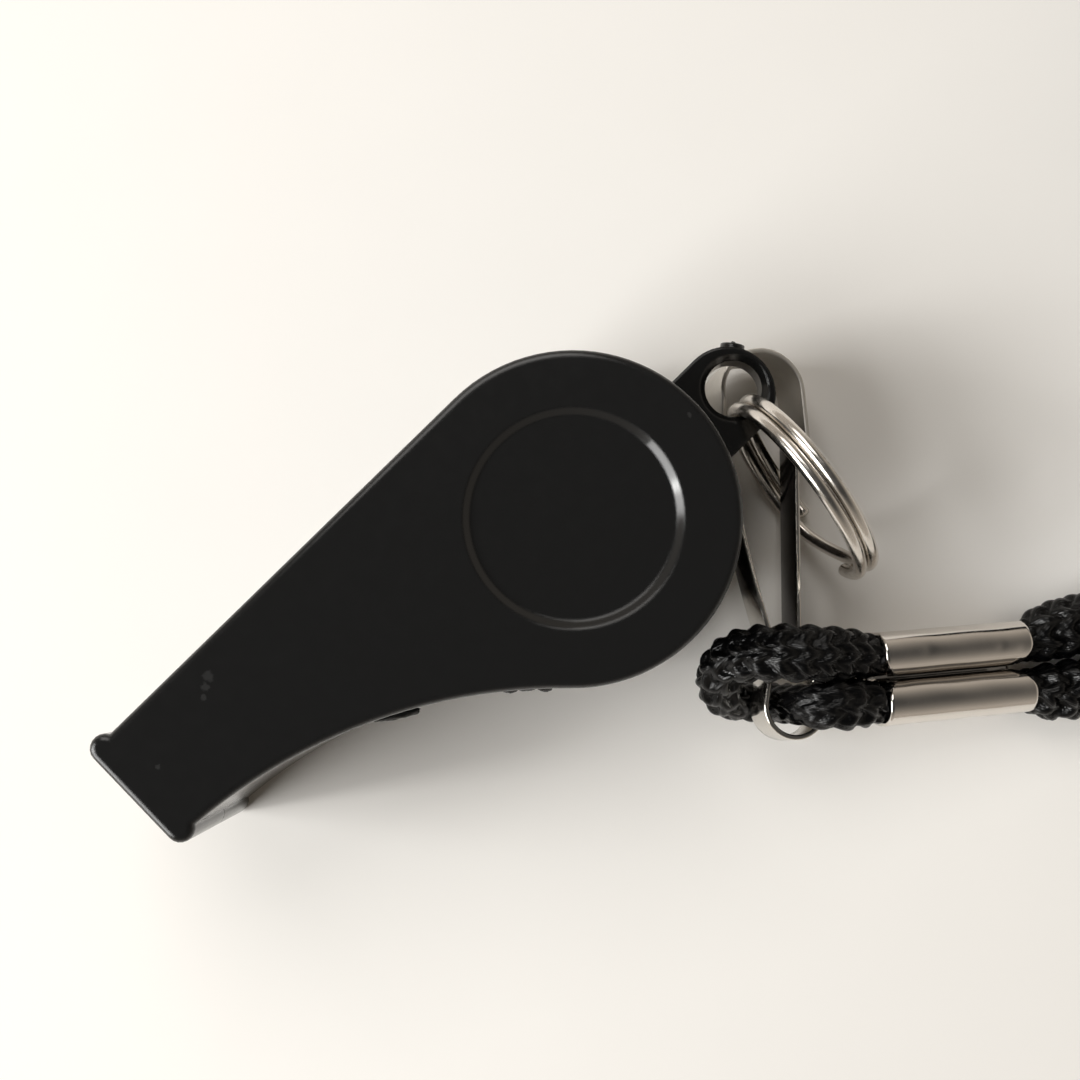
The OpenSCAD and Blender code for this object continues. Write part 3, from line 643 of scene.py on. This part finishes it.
# The hook in its own plane: y is 0 at its nose's middle and falls to its eye; the gate's root is at the waist
HOOK_LEN, HOOK_PITCH, HOOK_ROLL, HOOK_TURN = 24.1, -4, 12, 4.6
STRIP_T, STRIP_W, STRIP_ROUND, NOSE_W = 0.4, 3.2, 0.13, 4.8
NOSE_R, NOSE_DROP, EYE_R, LEG_BOW_R = 3.22, 5.2, 2.3, 91
WAIST_Y, WAIST_GAP, WAIST_ROUND = -19.6, 0.85, 1.6
GATE_TOP, GATE_GAP, ROOT_GAP = -3, 0.1, 0.06
# Where the strip narrows behind the nose, where its nose is matt, and where its nose and lower end get
# painted highlights
NARROW_LEN, MATT_TO, MATT_LEN = 3, -6, 3
NOSE_PAINTED_HIGHLIGHT, NOSE_PAINTED_HIGHLIGHT_TO, NOSE_PAINTED_HIGHLIGHT_LEN, END_PAINTED_HIGHLIGHT_FROM, END_PAINTED_HIGHLIGHT_LEN = 0.85, -5, 4, -14.9, 0.9


def hook_point(p):
    """A point of the hook's own axes in the part's axes."""
    p = turned(turned(turned(np.asarray(p, float), HOOK_TURN, 2), HOOK_PITCH, 0), HOOK_ROLL, 1)
    return hung(HOOK_AT + p)


def bow_x(y):
    """How far out the hook's bowed legs are at a height."""
    return NOSE_R - y * y / (2 * LEG_BOW_R)


def hook_path():
    """The middle line of the strip in the hook's own plane: front, nose, back leg, waist and eye."""
    def touch(p):
        """Angle at the eye's middle between a point and where a line from it touches the eye."""
        return math.degrees(math.acos(EYE_R / np.linalg.norm(p - eye)))

    def turn(p):
        return math.degrees(math.atan2(*(p - eye)[::-1]))

    eye = vec(0, -HOOK_LEN)
    waist, root = vec(-bow_x(WAIST_Y), WAIST_Y), vec(WAIST_GAP, WAIST_Y)
    start, stop = turn(waist) + touch(waist), 360 + turn(root) - touch(root)
    above_y = WAIST_Y + WAIST_ROUND
    above = vec(-bow_x(above_y), above_y)
    eye_start = eye + EYE_R * vec(math.cos(math.radians(start)), math.sin(math.radians(start)))
    below = waist + WAIST_ROUND * unit(eye_start - waist)
    seat = root - (STRIP_T / 2 + ROOT_GAP) * unit(root - eye)
    front = [vec(bow_x(y), y) for y in np.linspace(-NOSE_DROP, 0, 7)[:-1]]
    back = [vec(-bow_x(y), y) for y in np.linspace(0, above_y, 46)[1:-1]]
    knee = [(1 - t) ** 2 * above + 2 * t * (1 - t) * waist + t * t * below for t in np.linspace(0, 1, 11)]
    return front + arc((0, 0), NOSE_R, 0, 180, 60) + back + knee + arc(eye, EYE_R, start, stop, 60) + [seat]


def strip_solid(path, widths, painted_highlight):
    """A strip with rounded edges along a path in the hook's plane, and its tone mark of painted light: 1 for
    a painted highlight on the edges, the given painted highlight elsewhere, 0 for painted shade.
    """
    line = np.array(path)
    rings, tone = [], []
    for p, t, w, painted_highlight_here in zip(line, directions(line), widths, painted_highlight):
        normal = vec(-t[1], t[0], 0)
        section = rounded(STRIP_T / 2, w / 2, STRIP_ROUND)
        rings.append(np.array([vec(p[0], p[1], 0) + u * normal + vec(0, 0, v) for u, v in section]))
        # Painted highlight on the strip's edges.
        tone += [max(painted_highlight_here, abs(math.sin(a)) ** 2) for a in CORNER_ANGLES]
    return (*loft(rings), tone)


def hook(made):
    """The bent strip and its springy front stretch, painted dark as shade but for painted highlights on their
    edges, nose and lower end.
    """
    path = hook_path()
    widths, painted_highlight = [], []
    for x, y in path:
        narrow = rise(-y / NARROW_LEN) if x < 0 else float(y < -NOSE_DROP - 1)
        widths.append(NOSE_W + (STRIP_W - NOSE_W) * float(narrow))
        # Painted highlights on the nose and on the strip's lower end.
        nose_painted_highlight = NOSE_PAINTED_HIGHLIGHT * rise((y - NOSE_PAINTED_HIGHLIGHT_TO) / NOSE_PAINTED_HIGHLIGHT_LEN)
        painted_highlight.append(float(max(nose_painted_highlight, rise((END_PAINTED_HIGHLIGHT_FROM - y) / END_PAINTED_HIGHLIGHT_LEN))))
    points, faces, tone = strip_solid(path, widths, painted_highlight)
    matt = [float(rise((y - MATT_TO) / MATT_LEN)) for x, y in path]
    mesh_piece("hook_strip", hook_point(points), faces, made, "hook", "plated_metal", "hook_body", tone=tone,
               matt=np.repeat(matt, len(points) // len(path)))
    tip, root = vec(bow_x(GATE_TOP) - STRIP_T - GATE_GAP, GATE_TOP), vec(WAIST_GAP, WAIST_Y)
    path = [root + (tip - root) * t for t in np.linspace(-0.006, 1, 24)]
    # The spring's faces get painted shade, with painted highlights only on its edges.
    points, faces, tone = strip_solid(path, [STRIP_W] * len(path), [0] * len(path))
    mesh_piece("hook_spring", hook_point(points), faces, made, "gate", "plated_metal", "hook_gate", tone=tone,
               matt=[0] * len(points))


# Gap between the tucked-in edges, how deep they reach as a share of the height, and their corners' radius
TUCK_SLIT, TUCK_SHARE, TAB_ROUND = 0.15, 0.7, 1.7
# Dents in the sheet: along the crimp, round its wrap, and how wide
CRIMP_DENTS = [(-2.6, 4.2, 0.45), (3.4, 3.9, 0.35), (5.2, 3.6, 0.4), (-4.6, 22.5, 0.5), (1.2, 23.4, 0.4)]
DENT_DEPTH = 0.02
# How round the sheet's edges are, how uneven it is all over, and how far its outside lies in from the solid's
EDGE_ROUND, SHEET_WAVE, SHEET_IN = 0.1, 0.012, 0.03


def crimp(made):
    """One sheet bent round both runs of the cord, its round-cornered edges tucked in between them."""
    r, mid = (BARREL_W - TUCK_SLIT / 2) / 2, (BARREL_W + TUCK_SLIT / 2) / 2
    straight = BARREL_H / 2 - r
    low = BARREL_H / 2 - BARREL_H * TUCK_SHARE
    wrap = [vec(TUCK_SLIT / 2, z) for z in np.linspace(low, straight, 16)[:-1]]
    wrap += [vec(mid + r * math.cos(a), straight + r * math.sin(a)) for a in np.linspace(math.pi, 0, 33)]
    wrap += [vec(mid + r * math.cos(a), r * math.sin(a) - straight) for a in np.linspace(0, -math.pi / 2, 17)]
    half = wrap + [vec(y, -BARREL_H / 2) for y in np.linspace(mid, 0, 6)[1:]]
    line = np.array(half + [p * vec(-1, 1) for p in half[-2::-1]])
    at = lengths_to(line)
    t = directions(line)
    inward = np.stack([t[:, 1], -t[:, 0]], 1)
    run = np.linspace(-1, 1, 61)
    rings = []
    for p, n, s in zip(line, inward, at):
        edge = min(s, at[-1] - s)
        reach = max(0, 0.97 * TAB_ROUND + TUCK_SLIT / 2 - abs(p[0])) if edge < at[-1] / 4 else 0
        cut = TAB_ROUND - math.sqrt(TAB_ROUND ** 2 - reach ** 2)
        x = run * (CRIMP_LEN / 2 - EDGE_ROUND - cut)
        dent = SHEET_WAVE * np.sin(0.9 * x + 1.3 * s) * np.sin(0.55 * s + 0.4 * x)
        for at_x, at_s, wide in CRIMP_DENTS:
            dent = dent + DENT_DEPTH * np.exp(-((x - at_x) ** 2 + (s - at_s) ** 2) / wide ** 2)
        thin = EDGE_ROUND if edge < 1e-6 else 0
        outer = list(zip(x, SHEET_IN + thin + dent))
        inner = list(zip(x[::-1], SHEET_T - thin + dent[::-1]))
        loop = outer + [(x[-1] + EDGE_ROUND, SHEET_T / 2)] + inner + [(x[0] - EDGE_ROUND, SHEET_T / 2)]
        rings.append(np.array([vec(a, *(p + n * d)) for a, d in loop]))
    points, faces = loft(rings)
    up = np.cross(CRIMP_DIR, CRIMP_SIDE)
    placed = CRIMP_MID + points[:, :1] * CRIMP_DIR + points[:, 1:2] * CRIMP_SIDE + points[:, 2:] * up
    return mesh_piece("crimp_sheet", hung(placed), faces, made, "lanyard", "plated_metal", "crimp")


# Pea, tie and moulding marks
def ball(rows, sides):
    """Directions over a sphere, in rings from just above its low end to just below its high end."""
    rings = []
    for k in range(rows):
        tilt = math.pi * (k + 0.5) / rows
        a = 2 * math.pi * np.arange(sides) / sides
        level = np.full(sides, -math.cos(tilt))
        rings.append(np.stack([math.sin(tilt) * np.cos(a), math.sin(tilt) * np.sin(a), level], 1))
    return loft(rings)


def wobble(p, seed):
    """A smooth uneven value of about -1 to 1 over directions."""
    a = np.array([[3.1, 1.7, 2.3], [-2.2, 3.7, 1.1], [5.3, -4.1, 3.3], [-4.7, 5.9, -6.1]])
    return sum(np.sin(p @ row + seed * (k + 1.7)) for k, row in enumerate(a)) / len(a)


# The pea's radius and middle, and how uneven and how pitted it is
PEA_R, PEA_AT, PEA_UNEVEN, PEA_PITS = 4.6, (2.6, -4.5, 6.15), 0.05, 0.03


def pea(made):
    """The cork ball, slightly out of round."""
    points, faces = ball(60, 96)
    r = PEA_R - PEA_UNEVEN + PEA_UNEVEN * wobble(points, 1.3) - PEA_PITS * wobble(5 * points, 4.1) ** 2
    mesh_piece("pea_cork", points * r[:, None] + PEA_AT, faces, made, "pea", "pea_cork", "pea")


# The band's step, edge radius and unevenness; where its lap ends, and the lapping ends' share of the length,
# their thickness and lift; the rest is a little thinner than the solid
BAND_STEP, BAND_ROUND, BAND_UNEVEN = 0.7, 0.15, 0.015
LAP_TO, LAP_SHARE, LAP_THICK, LAP_LIFT, BAND_THICK = 0.35, 0.14, 0.5, 0.24, 0.94


def tie(made):
    """A soft band round the hank's waist, whose end laps over its start."""
    half, h = FOLD_OUT - WAIST_IN + CORD_R + 2 * TIE_GAP, LAYER_STEP + CORD_D + 2 * TIE_GAP
    r, reach, high = CORD_R + TIE_T / 2, half + TIE_T / 2, h / 2 + TIE_T / 2
    loop = [vec(0, high)]
    for x, y, start in ((1, 1, 90), (1, -1, 0), (-1, -1, -90), (-1, 1, -180)):
        turns = np.radians(np.linspace(start, start - 90, 13))
        loop += [vec(x * (reach - r) + r * math.cos(a), y * (high - r) + r * math.sin(a)) for a in turns]
    loop += [vec(0, high), vec(reach * LAP_TO, high)]
    dense = resampled(np.array(loop), BAND_STEP)
    count = len(dense)
    rings = []
    for i, (p, t) in enumerate(zip(dense, directions(dense))):
        n = vec(-t[1], t[0])
        start, end = i / count < LAP_SHARE, i / count > 1 - LAP_SHARE
        thick = TIE_T * (LAP_THICK if start or end else BAND_THICK)
        lift = TIE_T * (-LAP_LIFT if start else LAP_LIFT if end else 0)
        wide = TIE_W / 2 * (1 - BAND_UNEVEN + BAND_UNEVEN * math.sin(0.9 * i))
        section = rounded(wide, thick / 2, BAND_ROUND)
        rings.append(np.array([vec(a, *(p + n * (lift + b))) for a, b in section]))
    points, faces = loft(rings)
    middle = vec(*HANK_AT, h / 2 + TIE_T)
    placed = middle + points[:, :1] * HANK_ALONG + points[:, 1:2] * HANK_ASIDE + points[:, 2:] * vec(0, 0, 1)
    return mesh_piece("tie_wrap", hung(placed), faces, made, "lanyard", "tie_band", "hank_tie")


# Bits of flash on the seam under the body and the torn end of the mould's gate: middle, half sizes and turn
FLASH = [((-10.4, -5.8, 9.0), (0.95, 0.5, 0.4), -48), ((-9.5, -6.85, 9.1), (0.6, 0.42, 0.35), -50),
         ((-11.4, -5.2, 9.0), (0.7, 0.36, 0.35), -44), ((-18.85, -0.56, 9.0), (2.0, 0.38, 0.3), -35),
         ((-21.0, 0.95, 9.0), (1.7, 0.36, 0.25), -31)]
SCAR = [((18.1, 1.0, 9.15), (0.5, 0.3, 0.5), 62), ((18.45, 0.75, 8.85), (0.3, 0.22, 0.45), 30)]
# How uneven the bits are, at large and in small
SWELL, GRAIN = 0.14, 0.10


def lumps(name, places, made):
    """Small uneven bits of plastic on the shells."""
    all_points, all_faces, count = [], [], 0
    for k, (at, half, turn) in enumerate(places):
        points, faces = ball(18, 28)
        swell = 1 + SWELL * wobble(2.2 * points, k + 0.4) + GRAIN * wobble(5 * points, k + 2.1)
        all_points.append(turned(points * swell[:, None] * vec(*half), turn, 2) + vec(*at))
        all_faces += [tuple(v + count for v in face) for face in faces]
        count += len(points)
    mesh_piece(name, np.concatenate(all_points), all_faces, made, "whistle", "shell_plastic")


# Surroundings

# Metres: half the floor's size, how far it lies below the part, where it turns pale for the eye; and how pale
FLOOR_REACH, FLOOR_DROP, PALE_FROM, PALE_TO, PALE_GLOW = 4.0, 0.00003, 0.16, 0.5, 0.9
PAPER = (0.93, 0.91, 0.875)
# The room as it lights the part, as the eye sees it, and overhead
ROOM_LIGHT, ROOM_SEEN, ROOM_OVERHEAD = (0.31, 0.255, 0.19, 1), (0.80, 0.78, 0.75, 1), (0.06, 0.058, 0.055, 1)
# How much gloss sees of what the eye sees, and the heights between which the room turns dark
GLOSS_SHARE, DARK_FROM, DARK_TO = 0.3, 0.25, 0.8


def paper_material():
    """Pale paper, which the eye sees pale far from the lamps too."""
    made, shader = material("paper", PAPER, 0.9)
    shader.inputs["Specular IOR Level"].default_value = 0.1
    grain = grey(made, ramp(made, noise(made, 90, 3), 0.3, 0.7, 0.99, 1.0))
    tint = mixed(made, 1.0, (*PAPER, 1), grain, blend_type="MULTIPLY")
    made.node_tree.links.new(tint, shader.inputs["Base Color"])
    where = node(made, "ShaderNodeTexCoord").outputs["Object"]
    away = node(made, "ShaderNodeVectorMath", {0: where}, operation="LENGTH").outputs["Value"]
    path = node(made, "ShaderNodeLightPath")
    seen = math_node(made, "MAXIMUM", path.outputs["Is Glossy Ray"], path.outputs["Is Transmission Ray"])
    seen = math_node(made, "MAXIMUM", seen, path.outputs["Is Camera Ray"])
    pale = math_node(made, "MULTIPLY", ramp(made, away, PALE_FROM, PALE_TO, 0.0, PALE_GLOW), seen)
    shader.inputs["Emission Color"].default_value = ROOM_SEEN
    made.node_tree.links.new(pale, shader.inputs["Emission Strength"])
    return made


def surroundings():
    """The table that the part lies on."""
    corners = [(sx * FLOOR_REACH, sy * FLOOR_REACH, 0) for sx, sy in ((-1, -1), (1, -1), (1, 1), (-1, 1))]
    floor_mesh = bpy.data.meshes.new("floor")
    floor_mesh.from_pydata(corners, [], [(0, 1, 2, 3)])
    floor_mesh.materials.append(paper_material())
    floor = new_object("floor", floor_mesh)
    floor.location.z = -FLOOR_DROP


# The point of the part that every lamp faces
LAMPS_AIM = (0, 0, 10)


def lamp(name, azimuth, elevation, distance, size, power, color):
    """An area lamp, in metres; azimuth counts from the picture's right, elevation from the table."""
    data = bpy.data.lights.new(name, "AREA")
    data.shape, data.size, data.size_y, data.energy, data.color = "RECTANGLE", size[0], size[1], power, color
    made = new_object(name, data)
    turn = math.radians(azimuth - LAY_ANGLE)
    up = math.radians(elevation)
    away = Vector((math.cos(turn) * math.cos(up), math.sin(turn) * math.cos(up), math.sin(up)))
    made.location = Vector(LAMPS_AIM) * MM + away * distance
    made.rotation_mode = "QUATERNION"
    made.rotation_quaternion = away.to_track_quat("Z", "Y")


def lights():
    """A room that is dark overhead, with a window, the brighter pane in it and a skylight."""
    world = bpy.data.worlds.new("room")
    bpy.context.scene.world = world
    world.use_nodes = True
    path = node(world, "ShaderNodeLightPath")
    glossy, camera = path.outputs["Is Glossy Ray"], path.outputs["Is Camera Ray"]
    seen = math_node(world, "MULTIPLY_ADD", glossy, GLOSS_SHARE, camera)
    where = node(world, "ShaderNodeTexCoord").outputs["Generated"]
    up = node(world, "ShaderNodeSeparateXYZ", {0: where}).outputs[2]
    around = mixed(world, seen, ROOM_LIGHT, ROOM_SEEN)
    room = mixed(world, ramp(world, up, DARK_FROM, DARK_TO, 0.0, 1.0), around, ROOM_OVERHEAD)
    world.node_tree.links.new(room, world.node_tree.nodes["Background"].inputs[0])
    lamp("window", 198, 34, 0.50, (0.38, 0.28), 2.80, (1.0, 0.997, 0.985))
    lamp("pane", 192, 30, 0.52, (0.05, 0.13), 0.60, (1.0, 0.99, 0.965))
    lamp("skylight", 110, 52, 0.60, (0.36, 0.36), 1.15, (1.0, 0.97, 0.93))


place_camera()
sheet = crimp(metal_material("crimp_tin", (0.74, 0.70, 0.655), 0.08, 0.16))
knit_cord(tie(band_material()))
plastic = plastic_material("shell_plastic", 0.0095)
for shell in ("left_shell", "right_shell"):
    dress(shell, plastic)
split_ring(metal_material("ring_nickel", (0.70, 0.66, 0.61), 0.16, 0.27))
# The hook's last colour is painted shade, laid on its faces where the tone mark is low.
hook(metal_material("hook_nickel", (0.72, 0.69, 0.64), 0.12, 0.24, (0.035, 0.032, 0.03)))
pea(cork_material())
lumps("seam_flash", FLASH, plastic)
lumps("gate_scar", SCAR, plastic)
surroundings()
lights()
bpy.context.scene.view_settings.view_transform = "Standard"
